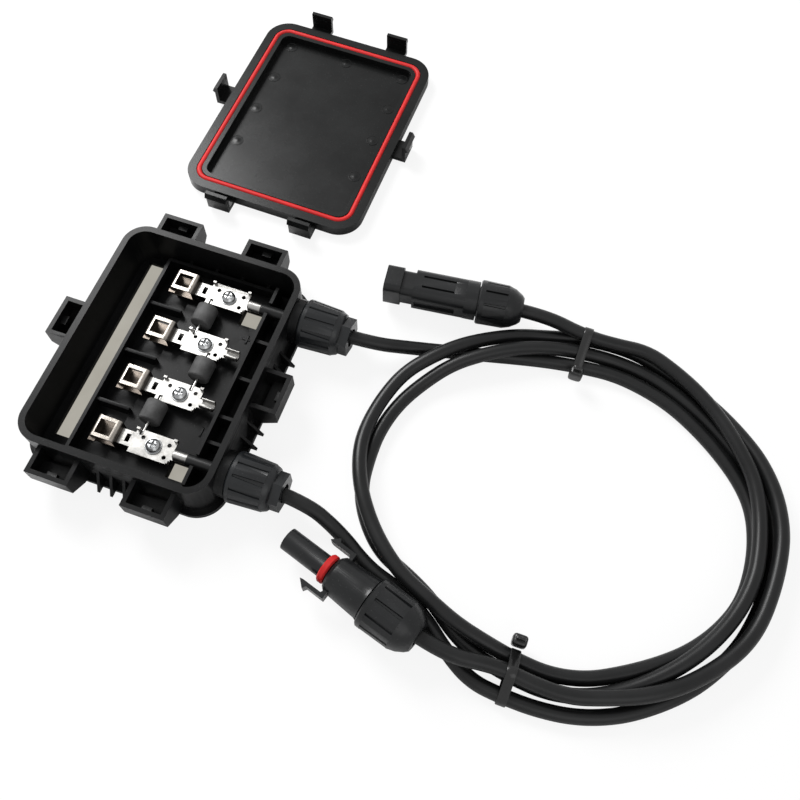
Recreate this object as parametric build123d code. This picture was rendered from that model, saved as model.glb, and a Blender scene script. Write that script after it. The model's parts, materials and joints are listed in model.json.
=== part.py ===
"""Solar panel junction box with its cover taken off, two glands and two coiled leads.

Millimetres, +Z up. The origin is the centre of the box on the underside of its floor;
+X runs towards the glands, +Y towards the cover that lies beside the box.
"""
import os
from math import atan2, cos, degrees, radians, sin, sqrt, tan, acos, pi

from build123d import *

os.makedirs("parts", exist_ok=True)

# ---- box ------------------------------------------------------------------
BOX_W, BOX_L, BOX_H = 80.0, 104.0, 22.0     # across X, along Y, height
BOX_R, WALL, FLOOR = 10.0, 2.6, 2.0         # corner radius, wall, floor
FLANGE_OUT, FLANGE_H = 2.5, 2.5             # foot flange round the wall
SLOT = (-34.0, -25.3, -41.0, 46.0)          # ribbon slot in the floor: x0, x1, y0, y1
WINDOWS = ((15.5, 25.5, 29.5, 38.0), (16.6, 26.4, -43.5, -36.0))
DIV_X, RIGHT_X, END_Y, RIB = -23.0, 28.0, 46.5, 1.4
DIV_H, RIGHT_H, PLAT_Z = 9.5, 14.0, 4.0     # tops of the inner walls and of the terminal floor
LATCHES = ((-22.0, 52.0, 90), (17.3, 52.0, 90), (-20.0, -52.0, -90), (19.7, -52.0, -90),
           (-40.0, 2.0, 180), (40.0, -0.5, 0))
LATCH_FLOOR = 11.0

# ---- rails, clamps, diodes --------------------------------------------------
RAIL_Y = (37.0, 13.0, -11.0, -35.0)
RAIL_X0, RAIL_X1, RAIL_W = 0.0, 17.5, 10.4  # contact plate
BARREL_DY = -1.0                            # crimp barrel beside the rail's own centre line
RAIL_Z, RAIL_T = 8.7, 0.9                   # underside and sheet thickness
SCREW_X, SCREW_R, HEAD_R, HEAD_H = 9.0, 1.25, 2.95, 2.2
CAGE_X, CAGE_L, CAGE_W, CAGE_T = -10.9, 10.4, 9.2, 0.7
TONGUE_Z, CAGE_TOP = 5.3, 12.7
DIODES = ((2.5, 26.0), (12.2, 2.6), (2.1, -21.4))
DIODE_R, DIODE_L, LEAD_R = 4.5, 9.0, 0.6

# ---- cord and glands ----------------------------------------------------------
CORD_R, CORE_R, WIRE_R = 2.9, 2.5, 1.3
AXIS_Z = 11.0                               # height of both gland axes
GLAND_Y = (36.0, -36.0)
COLLAR_R, COLLAR_X = 9.4, 43.6
SPIGOT_R, SPIGOT_X, SPIGOT_BORE = 8.0, 55.5, 5.3
CORE_END = 46.0                             # the jacket is stripped back to here
RUN_FIT, FREE = 0.08, 0.4                   # running fit on a radius, free gap

# ---- couplers: tip and cable end of each axis -----------------------------------
SOCKET_TIP, SOCKET_END = (69.1, 66.9, 9.6), (128.0, 74.0, 9.6)
PIN_TIP, PIN_END = (72.7, -51.6, 9.6), (131.3, -70.2, 11.5)

# ---- cover ------------------------------------------------------------------------
LID_W, LID_L, LID_T, LID_R = 86.0, 110.0, 5.9, 11.5
LID_AT, LID_TURN = (3.9, 143.7), -1.1
HOOKS = ((-19.5, 55.0, 90), (20.8, 55.0, 90), (-20.8, -55.0, -90), (19.4, -55.0, -90),
         (-43.0, 2.0, 180), (43.0, 0.5, 0))

# ---- coil -------------------------------------------------------------------------
COIL_H = 13.0
COIL_OUT = ((82.3, -2.0), (83.6, 15.0), (90.0, 35.0), (104.0, 53.0), (122.0, 65.5), (142.0, 74.5),
            (160.0, 76.3), (178.0, 77.2), (197.0, 73.0), (211.0, 66.0), (223.0, 55.8), (238.0, 41.2),
            (247.0, 27.5), (252.0, 12.0), (251.6, -10.7), (246.0, -31.7), (233.2, -51.8),
            (217.0, -66.5), (200.0, -76.2), (182.0, -80.3), (165.0, -81.0), (149.0, -79.0),
            (133.0, -73.2), (117.0, -64.5), (103.0, -53.5), (91.5, -39.0), (84.3, -21.0))
COIL_IN = ((92.0, -18.2), (90.6, -5.7), (94.0, 11.1), (101.5, 26.5), (112.4, 40.3), (127.0, 50.8),
           (144.0, 56.0), (162.0, 57.6), (181.0, 57.0), (200.0, 52.5), (218.5, 42.6), (230.6, 28.5),
           (237.0, 14.0), (239.0, -1.0), (237.0, -17.0), (229.0, -34.7), (213.5, -50.2), (196.0, -59.0),
           (178.0, -62.9), (164.0, -63.1), (146.0, -59.2), (129.0, -53.0), (115.0, -45.0), (102.0, -33.5))
TIES = (((158.5, 66.8), 2.0, 19.5), ((166.0, -72.0), 0.0, 19.0))   # centre, turn, width of the loop
LEAD_1 = ((CORE_END, 36.0, 11.0), (72.0, 36.0, 11.0), (90.0, 43.6, 4.6), (106.0, 48.2, 3.2))
LEAD_2 = ((CORE_END, -36.0, 11.0), (72.0, -36.0, 11.0), (89.0, -41.2, 4.8), (104.0, -50.5, 3.2))
PLUG_GRIP = 48.5                            # where the jacket ends inside a plug, from its tip


def block(x0, x1, y0, y1, z0, z1):
    """Box between two corners."""
    return Pos((x0 + x1) / 2, (y0 + y1) / 2, (z0 + z1) / 2) * Box(x1 - x0, y1 - y0, z1 - z0)


def rod(x0, x1, r, y=0.0, z=0.0):
    """Cylinder along X."""
    return Pos((x0 + x1) / 2, y, z) * Rot(0, 90, 0) * Cylinder(r, x1 - x0)


def turned(*profile):
    """Solid of revolution about X from (x, radius) points."""
    return revolve(make_face(Plane.XZ * Polyline(*profile, close=True)), Axis.X)


def plate(w, l, r, z0, z1):
    """Upright slab with rounded corners."""
    return Pos(0, 0, z0) * extrude(RectangleRounded(w, l, r), z1 - z0)


def ribbed(n, r, depth, x0, x1, taper):
    """Grip of a nut: a prism along X with n flat panels and a groove between each two, tapering towards x1."""
    half = 180.0 / n
    ring = []
    for k in range(n):
        for turn, radius in ((3 - half, r), (0, r), (half - 3, r), (half - 1.6, r - depth), (half + 1.6, r - depth)):
            a = radians(2 * half * k + turn)
            ring.append((radius * cos(a), radius * sin(a)))
    return extrude(Plane.YZ.offset(x0) * make_face(Polyline(*ring, close=True)), x1 - x0, taper=taper)


def save(name, shape):
    """One node: a STEP file of one or several solids."""
    solids = shape.solids()
    shape = solids[0] if len(solids) == 1 else Compound(children=list(solids))
    export_step(shape, "parts/" + name + ".step")
    print(f"{name:24s} solids {len(solids)}  volume {sum(s.volume for s in solids):10.2f}")


def placed(tip, end):
    """Location that carries a plug drawn along +X onto its axis."""
    dx, dy, dz = (b - a for a, b in zip(tip, end))
    return Location(tip) * Rot(0, 0, degrees(atan2(dy, dx))) * Rot(0, -degrees(atan2(dz, sqrt(dx * dx + dy * dy))), 0)


def along(tip, end, s):
    """Point on a plug axis at distance s from the tip."""
    d = [b - a for a, b in zip(tip, end)]
    n = sqrt(sum(c * c for c in d))
    return tuple(a + c * s / n for a, c in zip(tip, d))


def tube(name, route):
    """Cord stretch: straight runs joined by tangent arcs, one round section."""
    pts = [Vector(*p) for p in route]
    radii, length = [], 0.0
    for a, b, c in zip(pts, pts[1:], pts[2:]):
        turn = acos(max(-1.0, min(1.0, (b - a).normalized().dot((c - b).normalized()))))
        radii.append(0.45 * min((b - a).length, (c - b).length) / tan(turn / 2))
    path = FilletPolyline(*pts, radius=radii)
    section = Plane(origin=pts[0], z_dir=pts[1] - pts[0]) * Circle(CORD_R)
    solid = sweep(section, path=path)
    length = path.length
    print(name, "radii", [round(r, 1) for r in radii], "length", round(length, 1),
          "volume ratio", round(solid.volume / (pi * CORD_R ** 2 * length), 4))
    save(name, solid)
    return solid


# ---- base moulding ------------------------------------------------------------------
def latch_pocket():
    """Catch for one cover hook, with a slit down the wall; the wall face is x = 0."""
    side = make_face(Plane.XZ * Polyline((-0.8, 4.5), (4.0, 4.5), (10.8, 10.0), (10.8, 18), (-0.8, 18), close=True))
    body = extrude(side, 9.0, both=True)
    body -= block(0, 9.0, -7.2, 7.2, LATCH_FLOOR, 19) + block(0, 2.6, -7.2, 7.2, 4, 19)
    return body + block(6.9, 9.1, -2.0, 2.0, LATCH_FLOOR + 1.0, LATCH_FLOOR + 3.5)


def gusset():
    """Small triangular stiffener on the outside wall."""
    side = make_face(Plane.XZ * Polyline((-0.5, 2), (5.5, 2), (-0.5, 13), close=True))
    return extrude(side, 0.6, both=True)


base = plate(BOX_W, BOX_L, BOX_R, 0, BOX_H)
base += plate(BOX_W + 2 * FLANGE_OUT, BOX_L + 2 * FLANGE_OUT, BOX_R + FLANGE_OUT, 0, FLANGE_H)
base -= plate(BOX_W - 2 * WALL, BOX_L - 2 * WALL, BOX_R - WALL, FLOOR, BOX_H + 1)
base += block(-8.0, RIGHT_X, -END_Y, END_Y, FLOOR - 0.5, PLAT_Z)
base += block(DIV_X - RIB / 2, DIV_X + RIB / 2, -END_Y, END_Y, FLOOR - 0.5, DIV_H)
base += block(RIGHT_X - RIB / 2, RIGHT_X + RIB / 2, -END_Y, END_Y, FLOOR - 0.5, RIGHT_H)
for s in (-1, 1):
    base += block(DIV_X - RIB / 2, RIGHT_X + RIB / 2, s * END_Y - RIB / 2, s * END_Y + RIB / 2, FLOOR - 0.5, DIV_H)
    for x in (-14.0, -2.0, 10.0, 22.0):
        base += block(x - RIB / 2, x + RIB / 2, min(s * END_Y, s * 49.8), max(s * END_Y, s * 49.8), FLOOR - 0.5, DIV_H - 1.0)
for y in (21.0, 3.0, -15.0, -26.5):
    base += block(RIGHT_X, BOX_W / 2 - WALL + 0.5, y - RIB / 2, y + RIB / 2, FLOOR - 0.5, RIGHT_H - 2.0)
for y in (25.0, 1.0, -23.0):
    base += block(DIV_X, -8.0, y - RIB / 2, y + RIB / 2, FLOOR - 0.5, 8.0)
base += block(-8.7, -7.3, -END_Y, END_Y, FLOOR - 0.5, PLAT_Z)
for y in RAIL_Y:
    base += block(4.8, 13.2, y - 2.4, y + 2.4, PLAT_Z - 0.5, RAIL_Z)
    base += block(CAGE_X - 4.5, CAGE_X + 4.5, y - 3.0, y + 3.0, FLOOR - 0.5, TONGUE_Z)
    base -= Pos(SCREW_X, y, RAIL_Z) * Cylinder(SCREW_R, 12.0 - FLOOR)
for x, y, turn in LATCHES:
    base += Pos(x, y, 0) * Rot(0, 0, turn) * latch_pocket()
for x, y, turn in ((40.0, -13.5, 0), (40.0, -20.0, 0), (40.0, 13.0, 0), (40.0, 19.5, 0),
                   (-5.5, -52.0, -90), (0.0, -52.0, -90), (5.5, -52.0, -90), (-33.0, -52.0, -90), (0.0, 52.0, 90)):
    base += Pos(x, y, 0) * Rot(0, 0, turn) * gusset()
for y in GLAND_Y:
    base += rod(BOX_W / 2 - WALL, COLLAR_X, COLLAR_R, y, AXIS_Z)
    base += rod(COLLAR_X - 0.5, SPIGOT_X, SPIGOT_R, y, AXIS_Z)
    base -= rod(BOX_W / 2 - WALL - 1.0, SPIGOT_X + 1, SPIGOT_BORE, y, AXIS_Z)
    base -= rod(RIGHT_X - 2, RIGHT_X + 2, CORE_R, y, AXIS_Z)
    base -= block(RIGHT_X - 2, RIGHT_X + 2, y - CORE_R, y + CORE_R, AXIS_Z, RIGHT_H + 1)
x0, x1, y0, y1 = SLOT
base -= block(x0, x1, y0, y1, -1, FLOOR + 1)
for x0, x1, y0, y1 in WINDOWS:
    base -= block(x0, x1, y0, y1, -1, PLAT_Z + 0.5)
save("base_box", base)


# ---- cover and gasket -----------------------------------------------------------------
def hook():
    """Snap hook of the cover, standing up from a leg at the edge."""
    side = make_face(Plane.XZ * Polyline((-0.8, 1.4), (6.2, 1.4), (6.2, 8.0), (7.3, 8.7), (6.2, 11.0), (4.5, 11.0),
                                         (4.5, 3.4), (-0.8, 3.4), close=True))
    return extrude(side, 5.2, both=True)


lid_place = Pos(LID_AT[0], LID_AT[1], 0) * Rot(0, 0, LID_TURN)
lid = plate(LID_W, LID_L, LID_R, 0, LID_T)
lid = chamfer(lid.faces().sort_by(Axis.Z)[0].edges(), 1.2)
lid -= plate(LID_W - 17, LID_L - 17, LID_R - 7.5, 2.2, LID_T + 1)
groove = plate(LID_W - 8.0, LID_L - 8.0, LID_R - 4.0, 3.4, LID_T + 1) - plate(LID_W - 13.0, LID_L - 13.0, LID_R - 6.0, 3.0, LID_T + 2)
lid -= groove
lid += [Pos(x, y, 0) * Rot(0, 0, turn) * hook() for x, y, turn in HOOKS]
save("lid_cover", lid_place * lid)
gasket = plate(LID_W - 8.0, LID_L - 8.0, LID_R - 4.0, 3.4, 6.3) - plate(LID_W - 13.0, LID_L - 13.0, LID_R - 6.0, 3.0, 7.0)
save("lid_gasket", lid_place * gasket)

# ---- contact rails, clamps, screws -------------------------------------------------------
LEAD_SLOTS = {0: ((2.5, -1),), 1: ((2.5, 1), (12.2, -1)), 2: ((12.2, 1), (2.1, -1)), 3: ((2.1, 1),)}
for i, y in enumerate(RAIL_Y):
    top = RAIL_Z + RAIL_T
    half = RAIL_W / 2
    rail = block(RAIL_X0, RAIL_X1, y - half, y + half, RAIL_Z, top)
    rail += block(-5.6, RAIL_X0 + 0.5, y - 3.2, y + 3.2, RAIL_Z, top)
    rail -= block(-3.0, -1.2, y - 1.7, y + 1.7, RAIL_Z - 1, top + 1)
    rail += block(-5.6, -4.7, y - 3.2, y + 3.2, TONGUE_Z, top)
    rail += block(-15.0, -4.7, y - 3.0, y + 3.0, TONGUE_Z, TONGUE_Z + RAIL_T)
    rail += block(-0.0, 1.4, y + half - 0.9, y + half, RAIL_Z, top + 1.6)
    rail += block(RAIL_X1 - 1.4, RAIL_X1, y + half - 0.9, y + half, RAIL_Z, top + 1.6)
    rail += block(RAIL_X1 - 0.9, RAIL_X1, y - half, y - half + 1.4, RAIL_Z, top + 1.6)
    rail -= Pos(SCREW_X, y, RAIL_Z) * Cylinder(SCREW_R + 0.2, 4)
    for hx, hy in ((3.6, 2.2), (14.8, 2.4), (14.8, -2.9)):
        rail -= Pos(hx, y + hy, RAIL_Z) * Cylinder(0.85, 4)
    for sx, side in LEAD_SLOTS[i]:
        edge = y + side * half
        rail -= block(sx - 0.7, sx + 0.7, min(edge, edge - side * 2.4), max(edge, edge - side * 2.4), RAIL_Z - 1, top + 1)
    yb = y + BARREL_DY
    barrel = rod(19.0, 24.5, 2.2, yb, AXIS_Z) - rod(18.0, 25.0, WIRE_R, yb, AXIS_Z)
    if i in (1, 2):
        barrel -= block(18.0, 25.5, yb - 1.35, yb + 1.35, AXIS_Z, AXIS_Z + 3)
        barrel -= block(18.0, 25.5, yb - 3.0, yb + 3.0, AXIS_Z + 1.4, AXIS_Z + 3)
    rail += block(RAIL_X1 - 0.5, 20.0, yb - 1.9, yb + 1.9, RAIL_Z, top) - rod(18.0, 25.0, WIRE_R, yb, AXIS_Z)
    rail += barrel
    save(f"contact_rail_{i + 1}", rail)

    x0, x1 = CAGE_X - CAGE_L / 2, CAGE_X + CAGE_L / 2
    z0 = TONGUE_Z + RAIL_T
    cage = block(x0, x1, y - CAGE_W / 2, y + CAGE_W / 2, z0, CAGE_TOP)
    cage = fillet(cage.edges().filter_by(Axis.Y).group_by(Axis.Z)[-1], 1.6)
    inner = block(x0 + CAGE_T, x1 - CAGE_T, y - CAGE_W / 2 - 1, y + CAGE_W / 2 + 1, z0 + CAGE_T, CAGE_TOP - CAGE_T)
    cage -= fillet(inner.edges().filter_by(Axis.Y).group_by(Axis.Z)[-1], 0.9)
    cage -= block(CAGE_X - 3.4, CAGE_X + 3.0, y - 3.0, y + 3.0, CAGE_TOP - 2, CAGE_TOP + 1)
    cage += block(x0, x0 + 3.0, y - CAGE_W / 2 - 1.6, y - CAGE_W / 2 + 0.3, CAGE_TOP - 2.4, CAGE_TOP - 1.7)
    save(f"ribbon_clamp_{i + 1}", cage)

    head = turned((0, 0), (HEAD_H, 0), (HEAD_H, 1.7), (HEAD_H - 0.8, HEAD_R - 0.2), (0.3, HEAD_R), (0, HEAD_R))
    head = Rot(0, -90, 0) * head
    head -= Pos(0, 0, HEAD_H) * (Box(3.4, 0.8, 1.8) + Box(0.8, 3.4, 1.8))
    screw = Pos(SCREW_X, y, top) * head + Pos(SCREW_X, y, (4.0 + top) / 2) * Cylinder(SCREW_R, top - 4.0)
    save(f"rail_screw_{i + 1}", screw)

# ---- bypass diodes --------------------------------------------------------------------------
for i, (x, y) in enumerate(DIODES):
    z = PLAT_Z + DIODE_R
    body = Pos(x, y, z) * Rot(90, 0, 0) * Cylinder(DIODE_R, DIODE_L)
    body = chamfer(body.edges().filter_by(GeomType.CIRCLE), 0.5)
    save(f"diode_body_{i + 1}", body)
    leads = []
    for side, rail_y in ((1, RAIL_Y[i]), (-1, RAIL_Y[i + 1])):
        a, b = y + side * DIODE_L / 2, rail_y - side * (RAIL_W / 2 - 1.6)
        wire = Pos(x, (a + b) / 2, z) * Rot(90, 0, 0) * Cylinder(LEAD_R, abs(b - a))
        leads.append(wire + Pos(x, b, z) * Sphere(LEAD_R) + Pos(x, b, z - 0.9) * Cylinder(LEAD_R, 1.8))
    save(f"diode_leads_{i + 1}", Compound(children=leads))


# ---- cable glands ------------------------------------------------------------------------------
def gland_nut():
    """Ribbed dome nut with a hexagon end, bored for the spigot and the cord."""
    nut = turned((44.0, 0), (44.0, 9.9), (44.6, 10.4), (46.0, 10.4), (46.0, 0))
    nut += ribbed(12, 10.4, 0.7, 45.9, 58.5, 3.0)
    nut += turned((58.4, 0), (58.4, 9.6), (60.6, 8.7), (61.3, 7.8), (61.3, 0))
    nut += Pos(63.0, 0, 0) * Rot(0, 90, 0) * extrude(RegularPolygon(8.0, 6), 2.0, both=True)
    nut -= turned((43, 0), (43, SPIGOT_R + RUN_FIT), (58.0, SPIGOT_R + RUN_FIT), (60.5, 5.2), (61.0, 3.9), (66, 3.9), (66, 0))
    return nut


seal_shape = turned((50.0, CORD_R), (58.0, CORD_R), (57.2, 5.6), (SPIGOT_X + 0.6, 6.6), (SPIGOT_X, 6.6),
                    (SPIGOT_X, SPIGOT_BORE), (50.0, SPIGOT_BORE))
nut_shape = gland_nut()
for i, y in enumerate(GLAND_Y):
    save(f"gland_nut_{i + 1}", Pos(0, y, AXIS_Z) * nut_shape)
    save(f"gland_seal_{i + 1}", Pos(0, y, AXIS_Z) * seal_shape)
    save(f"cable_core_{i + 1}", rod(24.5, CORE_END, CORE_R, y, AXIS_Z))
    save(f"cable_wire_{i + 1}", rod(18.4, 24.5, WIRE_R, y, AXIS_Z))


# ---- plugs, drawn along +X from the tip -----------------------------------------------------------
def cap_nut(start, stop, r):
    """Domed, ribbed cap nut of a plug."""
    nut = turned((start, 0), (start, r - 0.5), (start + 0.6, r), (start + 2.4, r), (start + 2.4, 0))
    nut += ribbed(10, r, 0.8, start + 2.3, stop - 7.0, 1.5)
    nut += turned((stop - 7.1, 0), (stop - 7.1, r - 0.3), (stop - 4.0, r - 1.3), (stop - 1.2, r - 3.0), (stop, r - 4.2), (stop, 0))
    return nut - turned((start - 1, 0), (start - 1, 6.5 + RUN_FIT), (start + 11.5, 6.5 + RUN_FIT),
                        (start + 13.5, 3.7), (stop + 1, 3.7), (stop + 1, 0))


def plug_rear(x0, x1):
    """Rear spigot that carries the cap nut; x1 is its open end."""
    return turned((x0, 3.3), (x0, 6.5), (x1, 6.5), (x1, 3.3))


socket_place = placed(SOCKET_TIP, SOCKET_END)
front = Rot(0, 90, 0) * extrude(RectangleRounded(13.6, 13.0, 3.0), 7.2)
neck = Rot(0, 90, 0) * Pos(0, 0, 6.9) * extrude(RectangleRounded(10.6, 12.2, 3.0), 6.0)
shell = Rot(0, 90, 0) * Pos(0, 0, 12.6) * extrude(RectangleRounded(14.2, 14.6, 4.6), 22.4)
housing = front + neck + shell + turned((34.8, 0), (34.8, 8.3), (40.0, 8.3), (40.0, 0))
housing -= rod(-1, 26.0, 5.15)
housing -= rod(25, 41.0, 3.3)
housing += plug_rear(39.8, 48.5)
for s in (-1, 1):
    housing -= block(13.6, 31.0, min(s * 6.3, s * 8.0), max(s * 6.3, s * 8.0), -1.9, 1.9)
    housing -= block(16.0, 30.0, -3.0, -2.0, min(s * 6.2, s * 8.0), max(s * 6.2, s * 8.0))
    housing -= block(16.0, 30.0, 2.0, 3.0, min(s * 6.2, s * 8.0), max(s * 6.2, s * 8.0))
save("socket_plug_housing", socket_place * housing)
save("socket_plug_nut", socket_place * cap_nut(40.4, 59.3, 9.4))
save("socket_plug_contact", socket_place * (rod(9.0, 26.0, 1.5) + rod(26.0, 43.5, 3.3)))
save("socket_plug_seal", socket_place * rod(43.5, 48.5, 3.3))

pin_place = placed(PIN_TIP, PIN_END)
barrel = rod(0, 17.4, 4.5) + rod(17.2, 22.0, 4.5)
body = turned((21.6, 0), (21.6, 6.4), (23.0, 7.6), (37.4, 8.4), (38.6, 8.8), (38.6, 0))
pin_housing = barrel + body + plug_rear(38.4, 48.0)
pin_housing -= rod(-1, 16.0, 3.1)
pin_housing -= rod(15.0, 39.0, 3.0)
for s in (-1, 1):
    arm = make_face(Polyline((25.0, s * 6.4), (25.0, s * 10.2), (17.5, s * 10.2), (16.6, s * 11.6), (13.6, s * 9.0),
                             (15.0, s * 8.7), (23.0, s * 8.6), (24.0, s * 6.4), close=True))
    pin_housing += Pos(0, 0, -2.6) * extrude(arm, 5.2)
pin_housing -= rod(-1, 39.0, 3.0)
save("pin_plug_housing", pin_place * pin_housing)
save("pin_plug_nut", pin_place * cap_nut(39.2, 60.6, 10.2))
save("pin_plug_contact", pin_place * (rod(2.5, 43.0, 3.0) - rod(1.5, 14.0, 1.6)))
save("pin_plug_seal", pin_place * rod(43.0, 48.0, 3.3))
save("pin_plug_ring", pin_place * turned((18.0, 4.5), (18.0, 5.4), (18.6, 5.9), (20.2, 5.9), (20.8, 5.4), (20.8, 4.5)))

# ---- cords, coil, ties ------------------------------------------------------------------------------
TAIL_1 = (along(SOCKET_TIP, SOCKET_END, PLUG_GRIP), along(SOCKET_TIP, SOCKET_END, 68.0), (156.0, 71.5, 8.8))
TAIL_2 = (along(PIN_TIP, PIN_END, 48.0), along(PIN_TIP, PIN_END, 70.0), (160.0, -69.5, 9.6))
tube("cord_1_lead", LEAD_1)
tube("cord_2_lead", LEAD_2)
tube("cord_1_tail", TAIL_2)
tube("cord_2_tail", TAIL_1)

ring = extrude(make_face(Polyline(*COIL_OUT, close=True)), COIL_H) - extrude(make_face(Polyline(*COIL_IN, close=True)), COIL_H)
coil = chamfer(ring.faces().filter_by(Axis.Z).edges(), 2.6)
coil -= socket_place * rod(25.0, 60.5, 9.4 + FREE)
coil -= pin_place * rod(20.0, 61.8, 10.2 + FREE)
loops = []
for (x, y), turn, width in TIES:
    at = Pos(x, y, 0) * Rot(0, 0, turn)
    coil -= at * block(-2.3, 2.3, -width, width, -1, 1.1)
    loops.append(at * block(-2.3, 2.3, -width / 2, width / 2, 0, COIL_H + 1.2))
heads = (block(-3.0, 3.0, 7.0, 12.0, 10.5, 15.6) + block(-2.0, 2.0, 8.6, 9.9, 15.0, 18.0),
         block(-3.0, 3.0, 6.0, 11.5, 11.5, 16.6) + block(-2.0, 2.0, 7.6, 8.9, 16.0, 22.0))
save("cord_coil", coil)
for i, (((x, y), turn, width), loop, head) in enumerate(zip(TIES, loops, heads)):
    save(f"cable_tie_{i + 1}", loop + Pos(x, y, 0) * Rot(0, 0, turn) * head - coil)
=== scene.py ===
# %% [markdown]
# A solar junction box, opened up: black moulded base and cover, tinned rails with bypass diodes,
# and two coiled leads that end in plugs. The CAD model comes in first as a fixed frame, in metres.
# Everything below dresses that frame, so a piece is placed where the CAD says and is never fitted by eye.

# %% Load the CAD frame
import json
import math

import bmesh
import bpy
import numpy as np
from mathutils import Matrix, Vector


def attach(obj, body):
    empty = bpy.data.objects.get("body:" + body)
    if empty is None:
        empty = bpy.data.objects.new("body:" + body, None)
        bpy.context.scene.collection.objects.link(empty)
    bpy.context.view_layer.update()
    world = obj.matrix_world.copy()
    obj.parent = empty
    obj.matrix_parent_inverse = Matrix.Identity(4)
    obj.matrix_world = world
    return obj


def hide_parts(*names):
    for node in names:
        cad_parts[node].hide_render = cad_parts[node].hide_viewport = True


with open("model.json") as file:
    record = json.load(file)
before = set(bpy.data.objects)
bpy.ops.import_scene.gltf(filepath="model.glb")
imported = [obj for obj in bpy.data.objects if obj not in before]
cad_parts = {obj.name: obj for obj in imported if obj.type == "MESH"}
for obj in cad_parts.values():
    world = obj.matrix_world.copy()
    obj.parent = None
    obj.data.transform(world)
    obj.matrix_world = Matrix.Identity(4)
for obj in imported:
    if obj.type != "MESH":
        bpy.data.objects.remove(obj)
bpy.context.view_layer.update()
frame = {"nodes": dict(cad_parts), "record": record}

# %% [markdown]
# Every new object, be it a mesh, a curve, a lamp or the camera, joins the scene in the same way.

# %% Put an object in the scene
def add_object(name, data):
    """New object that shows data, linked to the scene."""
    made = bpy.data.objects.new(name, data)
    bpy.context.scene.collection.objects.link(made)
    return made


print(len(frame["nodes"]), "CAD nodes to dress")

# %% [markdown]
# The camera comes first, because the leads have to stay in its view. It stands low over the work,
# only 33 cm up, which gives the strong perspective of a close shot. A camera looks along its own -Z,
# so its matrix is built from the direction it looks in and the direction of its right-hand side.

# %% Camera
CAMERA_PLACE = Vector((0.1375, -0.1259, 0.3294))
CAMERA_LOOK = Vector((-0.1257, 0.4040, -0.9061)).normalized()
CAMERA_RIGHT = Vector((0.943, 0.332, 0.017))


def aim_camera(place, look, right, lens):
    """Camera at place; back = -look, up = back x right, so the three axes stand square to each other."""
    right = (right - right.dot(look) * look).normalized()
    up = (-look).cross(right)
    data = bpy.data.cameras.new("studio_camera")
    data.lens, data.sensor_width = lens, 36.0
    data.clip_start, data.clip_end = 0.01, 20.0
    camera = add_object("studio_camera", data)
    turn = Matrix((right, up, -look)).transposed().to_4x4()
    camera.matrix_world = Matrix.Translation(place) @ turn
    bpy.context.scene.camera = camera
    print("camera", data.lens, "mm at", tuple(round(c, 3) for c in place))


aim_camera(CAMERA_PLACE, CAMERA_LOOK, CAMERA_RIGHT, 39.4)

# %% [markdown]
# Two leads leave the glands and are wound together into one ring. Each is one smooth NURBS curve with
# a round section: first the points that it shares with the CAD route, then its turns round the ring,
# then the stretch up to its plug. They wind in opposite directions, so each passes over and under the other.

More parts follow.
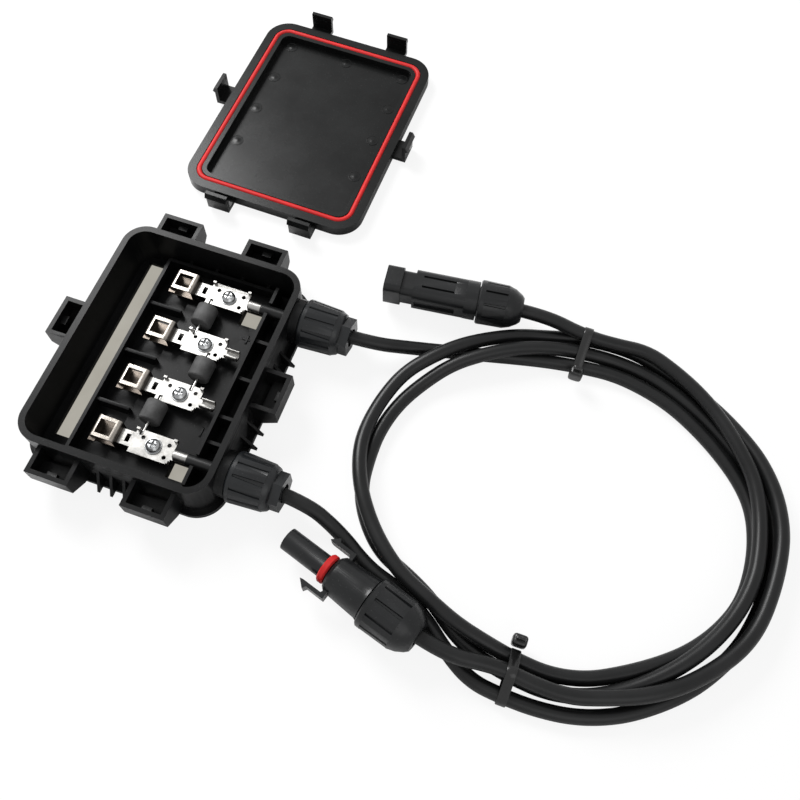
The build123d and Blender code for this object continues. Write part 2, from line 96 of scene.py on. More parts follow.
# %% The two leads
CORD_D = 0.0058
CORD_ROUTES = {
    "lead_plus": (
        (46.0, 36.0, 11.0), (72.0, 36.0, 11.0), (90.0, 43.6, 4.6), (106.0, 48.2, 3.2),
        (119.7, 51.69, 2.91), (133.0, 55.0, 2.95), (146.0, 57.9, 2.95), (159.2, 59.9, 2.95),
        (172.9, 61.0, 3.0), (186.3, 58.8, 3.0), (198.28, 54.97, 3), (209.98, 48.57, 3),
        (220.98, 40.68, 3), (230.8, 31.7, 2.95), (237.8, 21.5, 2.95), (241.3, 8.0, 2.95),
        (241.7, -6.0, 2.95), (239.7, -18.1, 3.0), (233.6, -30.1, 2.95), (225.19, -40.48, 2.93),
        (215.08, -48.78, 2.93), (204.18, -55.87, 2.93), (192.6, -62.1, 3.0), (179.6, -65.1, 3.2),
        (167.0, -64.5, 3.9), (154.4, -62.8, 6.8), (141.6, -60.2, 8.7), (129.3, -55.2, 9.2),
        (117.2, -50.0, 8.8), (106.8, -42.3, 8.9), (97.9, -33.0, 8.8), (90.2, -21.9, 9.1),
        (85.1, -8.9, 8.1), (83.8, 3.0, 6.2), (85.7, 17.0, 5.9), (90.3, 30.2, 6.9), (98.61, 39.9, 9.02),
        (108, 49.11, 9.34), (118.7, 57.41, 7.41), (130.1, 64.9, 4.5), (141.4, 69.0, 2.95),
        (154.8, 73.1, 3.0), (168.8, 74.4, 3.0), (180.8, 73.7, 2.95), (193.9, 69.5, 3.1),
        (206.3, 64.1, 3.5), (217.5, 57.4, 4.7), (227.4, 49.2, 6.6), (236.1, 40.1, 8.4),
        (243.8, 28.3, 8.8), (248.3, 15.1, 8.9), (249.3, 3.0, 8.9), (248.4, -11.0, 8.9),
        (245.8, -24.6, 8.8), (240.6, -35.8, 8.9), (232.0, -46.5, 8.7), (222.1, -55.7, 9.7),
        (211.0, -62.6, 10.0), (198.9, -67.3, 9.5), (186.7, -71.2, 9.1), (172.9, -71.1, 8.7),
        (160.0, -69.5, 9.6), (139.4, -72.8, 11.8), (118.4, -66.1, 11.1)),
    "lead_minus": (
        (46.0, -36.0, 11.0), (72.0, -36.0, 11.0), (89.0, -41.2, 4.8), (104.0, -50.5, 3.2),
        (117.46, -54.16, 3), (129.43, -60.1, 2.95), (140.93, -69.59, 3.2), (152.5, -76.6, 3.0),
        (165.3, -77.9, 2.95), (177.7, -78.0, 2.95), (191.3, -76.2, 3.0), (205.0, -71.1, 2.95),
        (216.5, -63.7, 2.95), (227.3, -54.4, 3.0), (234.8, -45.1, 3.0), (242.2, -33.0, 3.0),
        (246.4, -19.8, 3.0), (248.7, -6.0, 3.0), (249.1, 8.1, 3.0), (246.0, 21.7, 3.0),
        (239.3, 31.9, 2.95), (229.3, 41.4, 2.95), (218.42, 50.03, 2.95), (206.82, 57.23, 2.95),
        (194.72, 62.83, 3), (182.4, 66.3, 3.0), (168.8, 67.2, 3.4), (155.3, 65.0, 5.4),
        (142.5, 61.3, 7.5), (130.6, 55.8, 8.9), (119.0, 48.8, 8.8), (107.8, 40.8, 6.8),
        (99.0, 30.3, 3.6), (92.3, 18.0, 2.95), (88.9, 4.3, 3.0), (88.8, -7.8, 2.95), (90.3, -21.7, 3.0),
        (96.9, -33.6, 2.95), (106.7, -43.4, 2.95), (119.23, -48.15, 3), (130.95, -54.12, 3),
        (142.18, -62.8, 2.95), (154.1, -68.0, 2.95), (166.7, -70.4, 2.95), (180.1, -71.3, 2.95),
        (193.4, -68.3, 3.2), (205.42, -61.93, 4.62), (215.82, -53.82, 6.82), (224.81, -44.32, 8.43),
        (232.5, -33.2, 8.8), (238.3, -20.7, 8.9), (241.5, -7.2, 8.8), (241.3, 4.9, 8.9),
        (239.2, 18.6, 8.8), (234.4, 31.7, 9.4), (226.0, 42.8, 9.7), (216.8, 53.0, 9.4),
        (206.5, 61.4, 9.1), (195.2, 67.8, 9.0), (182.8, 72.9, 9.0), (168.8, 71.8, 8.4),
        (156.0, 71.5, 8.8), (136.6, 75.0, 9.6), (117.2, 72.7, 9.6)),
}


def lay_cord(name, route):
    """Quadratic NURBS curve (order 3) from the first route point to the last, with a round bevel."""
    curve = bpy.data.curves.new(name, "CURVE")
    curve.dimensions = "3D"
    spline = curve.splines.new("NURBS")
    spline.points.add(len(route) - 1)
    points = np.ones((len(route), 4))
    points[:, :3] = np.array(route) / 1000.0
    spline.points.foreach_set("co", points.ravel())
    spline.order_u = 3
    spline.use_endpoint_u = True
    spline.resolution_u = 10
    curve.bevel_depth = CORD_D / 2
    curve.bevel_resolution = 6
    curve.use_fill_caps = True
    return add_object(name, curve)


def centre_line(route, samples=1600):
    """Points on the clamped quadratic B-spline through the same control points, and its length.

    On the knot span that holds t, the curve is the quadratic blend of three neighbouring points."""
    p = np.array(route) / 1000.0
    spans = len(p) - 2
    t = np.linspace(0, spans, samples).clip(0, spans - 1e-9)
    i = t.astype(int)
    f = t - i
    first = np.where(i == 0, 1.0, 0.5)
    last = np.where(i == spans - 1, 1.0, 0.5)
    a = (1 - f) ** 2 * first
    c = f ** 2 * last
    line = a[:, None] * p[i] + (1 - a - c)[:, None] * p[i + 1] + c[:, None] * p[i + 2]
    return line, float(np.linalg.norm(np.diff(line, axis=0), axis=1).sum())


leads, lead_lengths = {}, {}
for lead_name, lead_route in CORD_ROUTES.items():
    leads[lead_name] = lay_cord(lead_name, lead_route)
    lead_lengths[lead_name] = centre_line(lead_route)[1]
    print(lead_name, "is", round(lead_lengths[lead_name], 3), "m long")

# %% [markdown]
# A material is a net of nodes, and arithmetic on it reads best as arithmetic. The class Signal wraps one
# output socket, so `bumps * 0.5 + 0.2` adds the Math nodes by itself. Finish starts a material and has one
# method, node, that makes any other node from its type, its settings and what goes into its sockets.

# %% Shader arithmetic
class Signal:
    """A number or colour that varies over a surface."""

    def __init__(self, finish, socket):
        self.finish, self.socket = finish, socket

    def _math(self, operation, a, b):
        return self.finish.node("ShaderNodeMath", {"operation": operation}, {0: a, 1: b})

    def __add__(self, other):
        return self._math("ADD", self, other)

    def __radd__(self, other):
        return self._math("ADD", other, self)

    def __sub__(self, other):
        return self._math("SUBTRACT", self, other)

    def __rsub__(self, other):
        return self._math("SUBTRACT", other, self)

    def __mul__(self, other):
        return self._math("MULTIPLY", self, other)

    def __rmul__(self, other):
        return self._math("MULTIPLY", other, self)

    def __gt__(self, other):
        return self._math("GREATER_THAN", self, other)


class Finish:
    """A material with one Principled shader; constants go straight onto its sockets."""

    def __init__(self, name, **constants):
        self.material = bpy.data.materials.new(name)
        self.material.use_nodes = True
        self.tree = self.material.node_tree
        self.shader = self.tree.nodes["Principled BSDF"]
        for socket, value in constants.items():
            self.shader.inputs[socket.replace("_", " ")].default_value = value
        self.place = self.node("ShaderNodeTexCoord", {}, {}, out="Object")

    def node(self, kind, settings, inputs, out=0):
        """New node with its settings made first, then its sockets filled by signals or constants."""
        made = self.tree.nodes.new(kind)
        for key, value in settings.items():
            if key == "stops":
                ramp = made.color_ramp
                while len(ramp.elements) < len(value):
                    ramp.elements.new(0.5)
                for element, (position, colour) in zip(ramp.elements, value):
                    element.position, element.color = position, (*colour, 1.0)
            else:
                setattr(made, key, value)
        for key, value in inputs.items():
            if isinstance(value, Signal):
                self.tree.links.new(value.socket, made.inputs[key])
            else:
                made.inputs[key].default_value = value
        return Signal(self, made.outputs[out])

    def noise(self, per_metre, detail=3.0, rough=0.6, stretch=(1, 1, 1), turn=(0, 0, 0)):
        """Fractal noise from 0 to 1 with so many waves in a metre, stretched along an axis if asked."""
        spot = self.node("ShaderNodeMapping", {}, {"Vector": self.place, "Scale": stretch, "Rotation": turn})
        return self.node("ShaderNodeTexNoise", {},
                         {"Vector": spot, "Scale": per_metre, "Detail": detail, "Roughness": rough})

    def ramp(self, signal, stops):
        """Colour ramp over a signal; each stop is (position, colour)."""
        return self.node("ShaderNodeValToRGB", {"stops": stops}, {"Fac": signal})

    def drive(self, **sockets):
        """Feed the named sockets of the Principled shader with signals."""
        for name, signal in sockets.items():
            self.tree.links.new(signal.socket, self.shader.inputs[name.replace("_", " ")])
        return self

    def bump(self, height, strength, distance):
        """Bump the surface by a height signal; distance is in metres."""
        normal = self.node("ShaderNodeBump", {},
                           {"Height": height, "Strength": strength, "Distance": distance}, out="Normal")
        return self.drive(Normal=normal)


def grey(value, tint=(1.0, 1.0, 1.0)):
    """Grey of the given value, tinted channel by channel."""
    return tuple(value * c for c in tint)


print("shader helpers ready")

# %% [markdown]
# Moulded black plastic is never quite one black: fine spark-eroded texture from the mould scatters light,
# flow and handling leave broad soft changes of gloss, and dust shows as small pale specks. Three noises of
# different scale give those three things, feeding colour, roughness and bump.

# %% Black mouldings
def moulded(name, dark, light, rough, spread, tint=(1, 1, 1), grain=0.35, level=0.42, dust=0.5):
    """Colour runs dark to light with broad noise; roughness = rough +- spread; grain feeds the bump."""
    finish = Finish(name, Specular_IOR_Level=level)
    broad = finish.noise(38, 4.0)
    fine = finish.noise(3600, 2.0, 0.55)
    specks = finish.noise(2100, 1.0, 0.4)
    base = finish.ramp(broad, [(0.3, grey(dark, tint)), (0.72, grey(light, tint))])
    fleck = finish.ramp(specks, [(0.72, (0, 0, 0)), (0.80, grey(dust))])
    colour = finish.node("ShaderNodeMix", {"data_type": "RGBA", "blend_type": "SCREEN"},
                         {"Factor": 0.12, 6: base, 7: fleck}, out=2)
    finish.drive(Base_Color=colour, Roughness=broad * spread + fine * (spread * 0.6) + (rough - 0.8 * spread))
    return finish.bump(fine * 0.7 + broad * 0.3, grain, 0.00006).material


box_black = moulded("moulded_black_box", 0.0025, 0.0060, 0.33, 0.14, (0.97, 1, 1.04), level=0.12, dust=0.25)
cover_black = moulded("moulded_black_cover", 0.004, 0.008, 0.26, 0.14, (0.95, 1.0, 1.0),
                      grain=0.15, level=0.16, dust=0.25)
nut_black = moulded("gland_nut_black", 0.006, 0.012, 0.30, 0.12, (0.88, 0.98, 1.10), level=0.30, dust=0.3)
plug_black = moulded("plug_black", 0.005, 0.011, 0.31, 0.12, (0.93, 0.99, 1.06), level=0.26, dust=0.3)
tie_black = moulded("tie_nylon_black", 0.006, 0.012, 0.24, 0.10, level=0.35, dust=0.2)
print("five black plastics")

# %% [markdown]
# The jacket of the lead is softer than the mouldings and a little glossier along its length, because it was
# drawn through a die. Stretching its noise would need the curve's own coordinates; fine even grain with broad
# patches of polish reads the same at this size and stays put on the surface.

# %% Cable jacket, rubber, red silicone
def elastomer(name, dark, light, rough, spread, tint=(1, 1, 1), level=0.4, grain=0.25):
    """Colour runs dark to light with broad patches of polish; the fine grain feeds roughness and bump."""
    finish = Finish(name, Specular_IOR_Level=level)
    broad = finish.noise(60, 3.0)
    fine = finish.noise(2600, 2.0)
    finish.drive(Base_Color=finish.ramp(broad, [(0.3, grey(dark, tint)), (0.75, grey(light, tint))]),
                 Roughness=broad * spread + fine * (spread * 0.5) + (rough - 0.75 * spread))
    return finish.bump(fine, grain, 0.00005).material


jacket_black = elastomer("cable_jacket_black", 0.0055, 0.0105, 0.36, 0.12, (0.97, 1.0, 1.03), level=0.22)
seal_black = elastomer("seal_rubber_black", 0.007, 0.013, 0.62, 0.1, level=0.15)
silicone_red = elastomer("silicone_red", 0.42, 0.60, 0.5, 0.12, (1.0, 0.035, 0.035), level=0.2)
print("jacket, seal and silicone")

# %% [markdown]
# Tinned copper is bright but uneven: rolling leaves fine lines along the strip, the tin clouds in patches,
# and fingers and flux leave warm, duller spots. The spring clamps are the same strip with a browner cast.
# Zinc screws are cooler, and their driver marks and dull crests are rougher than the flanks.

# %% Metals
STAIN_TINT, STAIN_SHARE = (0.72, 0.62, 0.50, 1.0), 0.45     # warm spots from fingers and flux
PAINTED_SHADE_TINT, PAINTED_SHADE_SHARE = (0.16, 0.13, 0.11, 1.0), 0.8      # painted shade: darkens the lower parts of the strip


def strip_metal(name, low, high, tint, rough, spread, lines=(1, 14, 1), painted_shade_below=None):
    """Bright metal: colour clouds between low and high, rolling lines across Y feed roughness and bump.

    Below the given height (metres) the strip's colour is darkened: painted shade for the parts that sit low in
    the box."""
    finish = Finish(name, Metallic=1.0)
    cloud = finish.noise(260, 4.0)
    rolled = finish.noise(420, 3.0, 0.7, stretch=lines)
    spots = finish.noise(900, 2.0)
    stain = finish.ramp(spots, [(0.60, (0, 0, 0)), (0.78, (1, 1, 1))])
    clean = finish.ramp(cloud, [(0.28, grey(low, tint)), (0.72, grey(high, tint))])
    colour = finish.node("ShaderNodeMix", {"data_type": "RGBA", "blend_type": "MULTIPLY"},
                         {"Factor": stain * STAIN_SHARE, 6: clean, 7: STAIN_TINT}, out=2)
    # Painted shade: below this height the colour is multiplied towards a dark brown-grey.
    if painted_shade_below:
        height = finish.node("ShaderNodeSeparateXYZ", {}, {0: finish.place}, out="Z")
        under = 1.0 - (height > painted_shade_below)
        colour = finish.node("ShaderNodeMix", {"data_type": "RGBA", "blend_type": "MULTIPLY"},
                             {"Factor": under * PAINTED_SHADE_SHARE, 6: colour, 7: PAINTED_SHADE_TINT}, out=2)
    finish.drive(Base_Color=colour, Roughness=rolled * spread + cloud * spread + (rough - spread))
    return finish.bump(rolled * 0.6 + cloud * 0.4, 0.25, 0.00008).material


# Painted shade darkens the rails below 8.9 mm and the clamps below 11.6 mm.
tinned = strip_metal("tinned_strip", 0.19, 0.37, (1.0, 0.985, 0.95), 0.34, 0.18, painted_shade_below=0.0089)
clamp_metal = strip_metal("clamp_strip", 0.19, 0.34, (1.0, 0.92, 0.83), 0.30, 0.16,
                          lines=(12, 1, 1), painted_shade_below=0.0116)
zinc = strip_metal("zinc_screw", 0.24, 0.42, (0.97, 0.99, 1.0), 0.26, 0.2, lines=(1, 1, 1))
wire_tin = strip_metal("tinned_wire", 0.28, 0.46, (1.0, 0.99, 0.96), 0.28, 0.12, lines=(1, 1, 1))
print("four metals")

# %% [markdown]
# A diode body is pressed from a filled epoxy: matt, grey-black and finely pitted, greyer where it was
# rubbed. It is rougher than anything else in the box, so it gets the strongest fine bump.

# %% Diode epoxy
def epoxy(name):
    """Matt grey-black, greyer where it was rubbed; the pits feed roughness and bump."""
    finish = Finish(name, Specular_IOR_Level=0.2)
    pits = finish.noise(2400, 4.0, 0.7)
    rub = finish.noise(170, 3.0)
    finish.drive(Base_Color=finish.ramp(rub, [(0.32, grey(0.045)), (0.7, grey(0.095))]),
                 Roughness=pits * 0.25 + 0.5)
    return finish.bump(pits, 0.55, 0.0001).material


diode_black = epoxy("diode_epoxy")
print("epoxy")

# %% [markdown]
# The mouldings, rails and nuts already have the right shape in the frame, but their edges are perfectly
# sharp, and nothing real is. A copy of each node is merged into clean faces and gets a small rounded edge
# from a Bevel modifier, so every edge catches a thin line of light. The copy then stands for the node.

# %% Round the edges of the CAD pieces
SHARP_ANGLE = math.radians(32.0)            # CAD edges sharper than this are rounded


def smooth_shading(mesh, sharp_angle):
    """Smooth faces, with a crease wherever two faces meet at more than sharp_angle."""
    mesh.polygons.foreach_set("use_smooth", np.ones(len(mesh.polygons), dtype=bool))
    mesh.set_sharp_from_angle(angle=sharp_angle)


def round_edges(node, body, finish, edge_mm):
    """Copy of a CAD node with its loose triangles merged, flat faces joined and sharp edges rounded."""
    mesh = bpy.data.meshes.new(node + "_finished")
    work = bmesh.new()
    work.from_mesh(frame["nodes"][node].data)
    bmesh.ops.remove_doubles(work, verts=work.verts, dist=2e-6)
    bmesh.ops.dissolve_limit(work, angle_limit=math.radians(0.4), verts=work.verts, edges=work.edges)
    work.to_mesh(mesh)
    work.free()
    smooth_shading(mesh, SHARP_ANGLE)
    mesh.materials.clear()
    mesh.materials.append(finish)
    piece = add_object(node + "_finished", mesh)
    bevel = piece.modifiers.new("rounded_edges", "BEVEL")
    bevel.width = edge_mm / 1000.0
    bevel.segments = 2
    bevel.limit_method = "ANGLE"
    bevel.angle_limit = SHARP_ANGLE
    bevel.harden_normals = True
    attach(piece, body)
    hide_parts(node)
    return piece


def body_holding(node):
    """Name of the body that lists this node."""
    return next(name for name, nodes in frame["record"]["behaviour"]["bodies"].items() if node in nodes)


# node, material, edge in mm, slot
EDGES = [
    ("base_box", box_black, 0.22, "black_plastic"), ("lid_cover", cover_black, 0.28, "black_plastic"),
    ("socket_plug_housing", plug_black, 0.25, "plug_plastic"),
    ("pin_plug_housing", plug_black, 0.22, "plug_plastic"),
    ("socket_plug_nut", plug_black, 0.2, "plug_plastic"), ("pin_plug_nut", plug_black, 0.2, "plug_plastic"),
    ("gland_nut_1", nut_black, 0.2, "nut_plastic"), ("gland_nut_2", nut_black, 0.2, "nut_plastic"),
]
EDGES += [(f"contact_rail_{i}", tinned, 0.1, "tinned_metal") for i in (1, 2, 3, 4)]
EDGES += [(f"ribbon_clamp_{i}", clamp_metal, 0.12, "clamp_steel") for i in (1, 2, 3, 4)]
EDGES += [(f"rail_screw_{i}", zinc, 0.08, "screw_steel") for i in (1, 2, 3, 4)]
EDGES += [(f"diode_body_{i}", diode_black, 0.15, "diode_epoxy") for i in (1, 2, 3)]
for edge_node, edge_finish, edge_size, edge_slot in EDGES:
    round_edges(edge_node, body_holding(edge_node), edge_finish, edge_size)

# %% [markdown]
# The smaller turned pieces keep their CAD shape and only need their own material.

# %% Repaint the plain CAD nodes
def repaint(node, finish):
    """Give a CAD node its Blender material in place of the plain one."""
    piece = frame["nodes"][node]
    for material_slot in piece.material_slots:
        material_slot.material = finish
    if not piece.material_slots:
        piece.data.materials.append(finish)


for node_name, node_finish in (
        [(f"diode_leads_{i}", wire_tin) for i in (1, 2, 3)] + [(f"cable_wire_{i}", wire_tin) for i in (1, 2)]
        + [(f"cable_core_{i}", jacket_black) for i in (1, 2)]
        + [(f"gland_seal_{i}", seal_black) for i in (1, 2)]
        + [("socket_plug_contact", wire_tin), ("pin_plug_contact", wire_tin), ("socket_plug_seal", seal_black),
           ("pin_plug_seal", seal_black), ("pin_plug_ring", silicone_red)]):
    repaint(node_name, node_finish)
print("plain nodes painted")

# %% [markdown]
# New pieces are surfaces: a grid of points worked out from two parameters. This helper turns such a grid
# into a mesh, joining the last row or column back to the first where the surface closes on itself. Small
# turned pieces that repeat are stacked into one mesh in the same way.

# %% Surface helpers
CREASE_ANGLE = math.radians(38)             # the same for every grid surface


def grid_quads(rows, columns, start=0, wrap_u=False, wrap_v=False):
    """Quads of a grid whose points are numbered row by row from start; wrap joins last to first."""
    index = np.arange(rows * columns).reshape(rows, columns) + start
    if wrap_u:
        index = np.vstack([index, index[:1]])
    if wrap_v:
        index = np.hstack([index, index[:, :1]])
    corners = [index[:-1, :-1], index[1:, :-1], index[1:, 1:], index[:-1, 1:]]
    return np.stack(corners, axis=-1).reshape(-1, 4).tolist()


def mesh_piece(name, points, faces, finish, body):
    """Piece with the given points (metres) and faces, welded where points coincide, faces turned outwards."""
    mesh = bpy.data.meshes.new(name)
    mesh.from_pydata(points.reshape(-1, 3).tolist(), [], faces)
    work = bmesh.new()
    work.from_mesh(mesh)
    bmesh.ops.remove_doubles(work, verts=work.verts, dist=1e-7)
    bmesh.ops.recalc_face_normals(work, faces=work.faces)
    work.to_mesh(mesh)
    work.free()
    smooth_shading(mesh, CREASE_ANGLE)
    mesh.materials.append(finish)
    piece = add_object(name, mesh)
    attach(piece, body)
    return piece


def surface(name, grid, finish, body, wrap_u=False, wrap_v=False, caps=False):
    """Piece from a (rows, columns, 3) grid of points; wrap joins the ends, caps closes both end rows."""
    rows, columns = grid.shape[:2]
    faces = grid_quads(rows, columns, 0, wrap_u, wrap_v)
    if caps:
        last = (rows - 1) * columns
        faces += [list(range(columns)), list(range(last + columns - 1, last - 1, -1))]
    return mesh_piece(name, grid, faces, finish, body)


def many(name, grids, finish, body):
    """One piece from several small closed turned grids of the same shape."""
    rows, columns = grids[0].shape[:2]
    size = rows * columns
    faces = []
    for start in range(0, len(grids) * size, size):
        faces += grid_quads(rows, columns, start, wrap_v=True)
        faces += [list(range(start, start + columns)), list(range(start + size - columns, start + size))]
    return mesh_piece(name, np.stack(grids), faces, finish, body)


def lathe(profile, centre, axis="z", steps=40):
    """Grid of a profile ((along, radius), ...) in mm turned about an axis through centre (mm)."""
    along, radius = np.array(profile, dtype=float).T
    turn = np.linspace(0, 2 * np.pi, steps, endpoint=False)
    a = np.repeat(along[:, None], steps, 1)
    b, c = radius[:, None] * np.cos(turn), radius[:, None] * np.sin(turn)
    parts = {"z": (b, c, a), "x": (a, b, c), "y": (c, a, b)}[axis]
    return (np.stack(parts, axis=-1) + np.array(centre, dtype=float)) / 1000.0


print("surface helpers ready")

# %% [markdown]
# The cover lies on its back, so its gasket faces up. A real gasket is a round-topped cord pressed into a
# groove. Its path is a rounded rectangle; a small half-round profile is carried along it.

# %% Red gasket in the cover
LID_AT, LID_TURN = np.array((3.9, 143.7)), math.radians(-1.1)     # middle of the cover in mm, turn about +Z


def on_lid(points):
    """Turns points given about the middle of the cover (mm) into the shared frame (mm)."""
    c, s = math.cos(LID_TURN), math.sin(LID_TURN)
    out = points.copy()
    out[..., 0] = points[..., 0] * c - points[..., 1] * s + LID_AT[0]
    out[..., 1] = points[..., 0] * s + points[..., 1] * c + LID_AT[1]
    return out


def rounded_path(width, length, radius, steps=14):
    """Closed path: four quarter arcs of the given radius, and the unit direction outwards at each point."""
    turn = np.concatenate([np.linspace(q, q + np.pi / 2, steps) for q in (0, np.pi / 2, np.pi, 1.5 * np.pi)])
    corner = np.repeat(np.array([(1, 1), (-1, 1), (-1, -1), (1, -1)]), steps, axis=0)
    out = np.stack([np.cos(turn), np.sin(turn)], axis=-1)
    return corner * (np.array((width, length)) / 2 - radius) + out * radius, out


def gasket_bead(width, length, radius, half, low, high, side=1.6):
    """Bead with upright sides up to low + side and a round top, height = low + side + rise * sin(t).

    rise = high - low - side, and the offset from the path is half * cos(t)."""
    path, out = rounded_path(width, length, radius)
    t = np.linspace(0, np.pi, 11)
    offset = np.concatenate([half * np.cos(t), [-half, half]])
    height = np.concatenate([low + side + (high - low - side) * np.sin(t), [low, low]])
    flat = path[:, None, :] + out[:, None, :] * offset[None, :, None]
    z = np.broadcast_to(height, flat.shape[:2])[..., None]
    return on_lid(np.concatenate([flat, z], axis=-1)) / 1000.0


bead = gasket_bead(width=75.5, length=99.5, radius=6.3, half=1.22, low=3.42, high=6.28)
gasket = surface("gasket_bead", bead, silicone_red, body_holding("lid_gasket"),
                 wrap_u=True, wrap_v=True)
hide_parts("lid_gasket")
print("gasket", len(gasket.data.polygons), "faces")

# %% [markdown]
# Pins that push a moulding out of its tool leave round marks. Inside the cover they stand as faint discs with
# a raised ring. Each is a very low turned profile, and all of them become one piece.

# %% Ejector marks
# (x, y) of each mark from the middle of the cover, and the (height, radius) profile of one mark, in mm
LID_MARKS = ((-29.5, 43), (0, 43), (29.9, 43), (-29.6, 21.5), (-29.7, 0), (-29.8, -21.7),
             (30.2, 22.5), (30.3, 1.5), (30.3, -21.5))
MARK_PROFILE = ((2.15, 2.9), (2.34, 2.9), (2.36, 2.7), (2.24, 2.55), (2.24, 0.9), (2.3, 0.7), (2.3, 0.2))
mark_places = [(*on_lid(np.array(spot, dtype=float)), 0.0) for spot in LID_MARKS]
lid_marks = many("cover_ejector_marks", [lathe(MARK_PROFILE, place, steps=28) for place in mark_places],
                 cover_black, body_holding("lid_cover"))
print("ejector marks", len(lid_marks.data.polygons), "faces")

# %% [markdown]
# Raised plus and minus signs on the terminal floor tell which lead is which. Each bar is a low cushion: its
# height falls off towards its edges by a power law, which rounds the rim.

# %% Polarity signs
def bar(x, y, turned, long=4.6, wide=0.9, base=3.95, high=0.45):
    """Grid over (u, v) in -1..1; height = base + high * (1 - |u|^8) * (1 - |v|^8)."""
    u, v = np.meshgrid(np.linspace(-1, 1, 21), np.linspace(-1, 1, 11), indexing="ij")
    dx, dy = (u * long / 2, v * wide / 2) if not turned else (v * wide / 2, u * long / 2)
    z = base + high * (1 - np.abs(u) ** 8) * (1 - np.abs(v) ** 8)
    top = np.stack([x + dx, y + dy, z], axis=-1)
    under = top[:, ::-1].copy()
    under[..., 2] = base - 0.3
    return np.concatenate([top, under], axis=1) / 1000.0


SIGNS = {"plus_sign_1": (22.4, 23.6, False), "plus_sign_2": (22.4, 23.6, True),
         "minus_sign_1": (22.2, -21.4, True)}
for sign_name, sign_place in SIGNS.items():
    surface(sign_name, bar(*sign_place), box_black, "box", wrap_v=True, caps=True)
print("signs made")

# %% [markdown]
# Under each rail screw sits a thin spring washer, and behind each gland nut a little of the thread shows.
# Both are turned shapes; the thread's radius rises and falls as a cosine of the distance along the axis.

# %% Washers and gland threads
RAIL_Y, SCREW_X = (37.0, 13.0, -11.0, -35.0), 9.0
GLAND_Y, AXIS_Z = (36.0, -36.0), 11.0
# (height, radius) in mm
WASHER_PROFILE = ((9.6, 1.5), (9.6, 3.35), (9.72, 3.45), (9.92, 3.4), (9.98, 3.2), (9.9, 2.96))
washers = many("screw_washers", [lathe(WASHER_PROFILE, (SCREW_X, y, 0.0), steps=36) for y in RAIL_Y],
               zinc, "box")


def thread_profile(start, stop, root, depth, pitch):
    """(along, radius) with radius = root + depth * (0.5 + 0.5 cos(2 pi x / pitch))."""
    x = np.linspace(start, stop, int((stop - start) / pitch * 8) + 1)
    return np.stack([x, root + depth * (0.5 + 0.5 * np.cos(2 * np.pi * x / pitch))], axis=-1)


for k, gland_y in enumerate(GLAND_Y):
    thread = thread_profile(start=43.4, stop=44.2, root=8.05, depth=0.25, pitch=0.4)
    surface(f"gland_thread_{k + 1}", lathe(thread, (0, gland_y, AXIS_Z), axis="x", steps=48),
            box_black, "box", wrap_v=True, caps=True)
print("washers", len(washers.data.polygons), "faces")

# %% [markdown]
# A cable tie is pulled tight, so its band follows the outline of the bundle. In the plane of the tie the leads
# are circles, and the band touches the outermost one in every direction; between two of them it runs straight.
# The head sits at the inner side of the coil, with the cut end of the band standing out of it.

# %% Cable ties
BAND_WIDTH, BAND_NEAR, BAND_FAR = 3.7, 2.92, 3.5    # mm; near and far are inner and outer distance from a lead
BAND_CORNER = 0.15
HEAD_OFF, HEAD_Z, HEAD_SIZE = 6.0, 7.6, (5.6, 4.4, 6.6)         # off the middle of the innermost lead
STUB_Z, STUB_SIZE = 11.6, (3.4, 1.2, 4.2)
# x of the tie, the two y limits that its bundle lies between, and the sign of y there
TIES = {1: (157.2, 50.0, 85.0, 1), 2: (165.2, -50.0, -90.0, -1)}


def bundle(tie_x, inner, outer):
    """Centres (y, z) in mm of the leads where they cross the plane x = tie_x between two distances from y = 0."""
    found = []
    for route in CORD_ROUTES.values():
        line = centre_line(route, 4000)[0] * 1000.0
        side = line[:, 0] - tie_x
        for k in np.nonzero(side[:-1] * side[1:] <= 0)[0]:
            if min(inner, outer) < line[k, 1] < max(inner, outer):
                found.append(line[k, 1:])
    return np.array(found)


def strap(tie_x, centres, steps=120):
    """Closed band: point(phi) = c + r * (cos phi, sin phi), where c is the centre furthest along phi.

    Each corner of its section has a radius r, a share of the width and a lowest z (mm)."""
    section = ((BAND_NEAR, -0.5, 0.045), (BAND_FAR - BAND_CORNER, -0.5, 0.0), (BAND_FAR, -0.44, 0.0),
               (BAND_FAR, 0.44, 0.0), (BAND_FAR - BAND_CORNER, 0.5, 0.0), (BAND_NEAR, 0.5, 0.045))
    turn = np.linspace(0, 2 * np.pi, steps, endpoint=False)
    out = np.stack([np.cos(turn), np.sin(turn)], axis=-1)
    furthest = centres[(out @ centres.T).argmax(axis=1)]
    rows = []
    for radius, share, floor in section:
        ring = furthest + radius * out
        ring[:, 1] = np.maximum(ring[:, 1], floor)
        rows.append(np.concatenate([np.full((steps, 1), tie_x + share * BAND_WIDTH), ring], axis=1))
    return np.stack(rows) / 1000.0


def cushion(centre, size, power=5.0, steps=32):
    """Rounded block |x/a|^p + |y/b|^p + |z/c|^p = 1 from a polar grid; power p sets how square it is."""
    across, up = np.meshgrid(np.linspace(0, 2 * np.pi, steps, endpoint=False),
                             np.linspace(-1.5, 1.5, 17), indexing="ij")
    ray = np.stack([np.cos(up) * np.cos(across), np.cos(up) * np.sin(across), np.sin(up)], axis=-1)
    reach = (np.abs(ray) ** power).sum(axis=-1) ** (-1 / power)
    grid = ray * reach[..., None] * np.array(size) / 2 + np.array(centre)
    return np.swapaxes(grid, 0, 1) / 1000.0


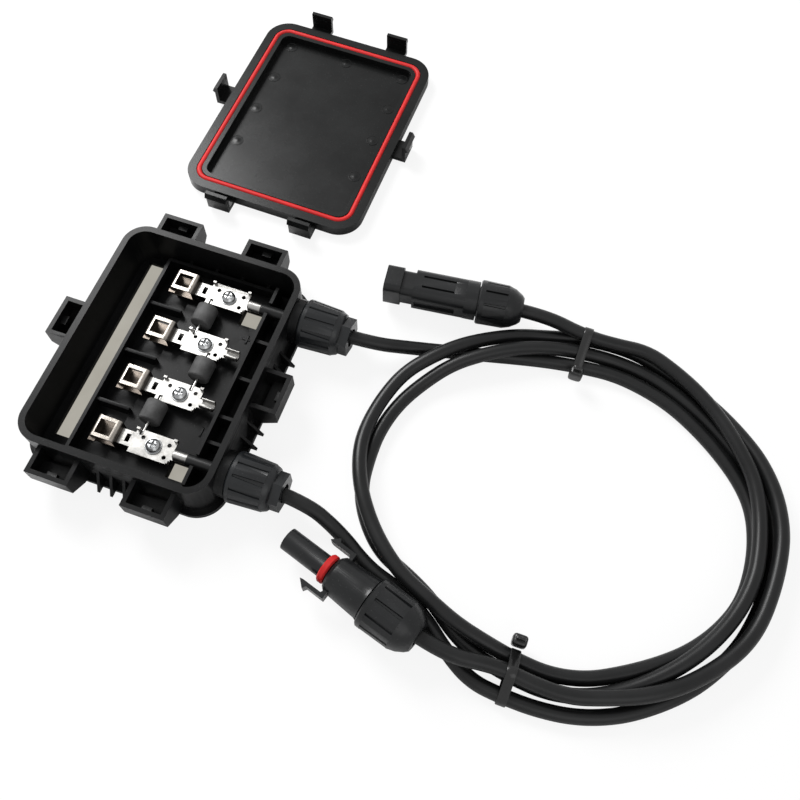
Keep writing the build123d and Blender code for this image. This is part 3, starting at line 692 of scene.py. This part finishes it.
tie_pieces = []
for tie, (tie_x, inner, outer, sign) in TIES.items():
    centres = bundle(tie_x, inner, outer)
    band = surface(f"tie_band_{tie}", strap(tie_x, centres), tie_black, "box",
                   wrap_u=True, wrap_v=True)
    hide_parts(f"cable_tie_{tie}")
    innermost = (centres[:, 0] * sign).min() * sign
    head_y = innermost - sign * HEAD_OFF
    head = surface(f"tie_head_{tie}", cushion((tie_x, head_y, HEAD_Z), HEAD_SIZE), tie_black, "box",
                   wrap_v=True, caps=True)
    stub = surface(f"tie_stub_{tie}", cushion((tie_x, head_y, STUB_Z), STUB_SIZE, power=8.0), tie_black,
                   "box", wrap_v=True, caps=True)
    tie_pieces += [band, head, stub]
    print("tie", tie, "holds", len(centres), "strands")

# %% [markdown]
# The leads take the jacket material and join the box, as the ties do; the CAD cords are hidden.


for lead in leads.values():
    lead.data.materials.append(jacket_black)
    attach(lead, "box")
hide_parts("cord_1_lead", "cord_1_tail", "cord_coil")
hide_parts("cord_2_lead", "cord_2_tail")

# %% [markdown]
# The studio is a white table under soft light. The table shows white to the camera and in reflections, and
# still takes the shadow, because part of it is an ordinary matt surface. A beige sheet made the same way lies
# under the open floor of the box and shows through its slot and windows; its beige and its glow are painted
# shade, the look of the white table in the shadow under the box. One big lamp from behind gives the edges their
# shine, and a weaker one in front opens the shadows.

# %% Table, world and lamps
WHITE = (1.0, 1.0, 1.0, 1.0)


def glowing_sheet(name, low, high, z, finish, colour, strength, own):
    """Flat stage piece between two corners. Camera rays see own * glow + (1 - own) * matt, others matt."""
    (x0, y0), (x1, y1) = low, high
    mesh = bpy.data.meshes.new(name)
    mesh.from_pydata([(x0, y0, z), (x1, y0, z), (x1, y1, z), (x0, y1, z)], [], [(0, 1, 2, 3)])
    sheet = add_object(name, mesh)
    glow = finish.node("ShaderNodeEmission", {}, {"Color": colour, "Strength": strength})
    ray = finish.node("ShaderNodeLightPath", {}, {}, out="Is Camera Ray")
    matt = Signal(finish, finish.shader.outputs[0])
    both = finish.node("ShaderNodeMixShader", {}, {0: ray * own, 1: matt, 2: glow})
    finish.tree.links.new(both.socket, finish.tree.nodes["Material Output"].inputs["Surface"])
    mesh.materials.append(finish.material)


def studio_world(ambient):
    """White to camera, glossy and transmission rays; a softer grey for the light it gives."""
    world = bpy.data.worlds.new("studio_world")
    bpy.context.scene.world = world
    world.use_nodes = True
    tree = world.node_tree
    background = tree.nodes["Background"]
    path = tree.nodes.new("ShaderNodeLightPath")
    seen = path.outputs["Is Camera Ray"]
    for out in ("Is Glossy Ray", "Is Transmission Ray"):
        either = tree.nodes.new("ShaderNodeMath")
        either.operation = "MAXIMUM"
        tree.links.new(seen, either.inputs[0])
        tree.links.new(path.outputs[out], either.inputs[1])
        seen = either.outputs[0]
    level = tree.nodes.new("ShaderNodeMapRange")
    tree.links.new(seen, level.inputs["Value"])
    level.inputs["To Min"].default_value = ambient
    level.inputs["To Max"].default_value = 1.0
    background.inputs["Color"].default_value = WHITE
    tree.links.new(level.outputs["Result"], background.inputs["Strength"])


def soft_lamp(name, place, target, size, power):
    """Square area lamp at place that faces target (metres, watts)."""
    data = bpy.data.lights.new(name, "AREA")
    data.shape, data.size, data.energy = "SQUARE", size, power
    lamp = add_object(name, data)
    lamp.location = place
    lamp.rotation_euler = (Vector(target) - Vector(place)).to_track_quat("-Z", "Y").to_euler()


table_white = Finish("table_white", Roughness=0.9, Specular_IOR_Level=0.1,
                     Base_Color=(0.93, 0.93, 0.93, 1.0))
glowing_sheet("table", (-1.5, -1.5), (1.5, 1.5), -0.0002, table_white, WHITE, strength=1.0, own=0.86)
# Painted shade: a glowing beige sheet under the box gives the colour of the shaded table seen through the slot
# and windows.
shaded_table_paint = Finish("shaded_table_paint", Roughness=0.8, Specular_IOR_Level=0.2)
beige = shaded_table_paint.ramp(shaded_table_paint.noise(45, 3.0),
                           [(0.3, (0.52, 0.495, 0.43)), (0.7, (0.60, 0.575, 0.51))])
shaded_table_paint.drive(Base_Color=beige)
glowing_sheet("shaded_table_glow_sheet", (-0.037, -0.048), (0.036, 0.05), -0.0001, shaded_table_paint, beige,
              strength=0.92, own=0.75)
studio_world(0.5)
soft_lamp("window_behind", (-0.50, 0.42, 0.62), (0.08, 0.03, 0.0), 0.40, 10.0)
soft_lamp("fill_in_front", (0.55, -0.6, 0.8), (0.08, 0.0, 0.0), 0.7, 2.0)
bpy.context.scene.view_settings.view_transform = "Standard"
print("studio ready")
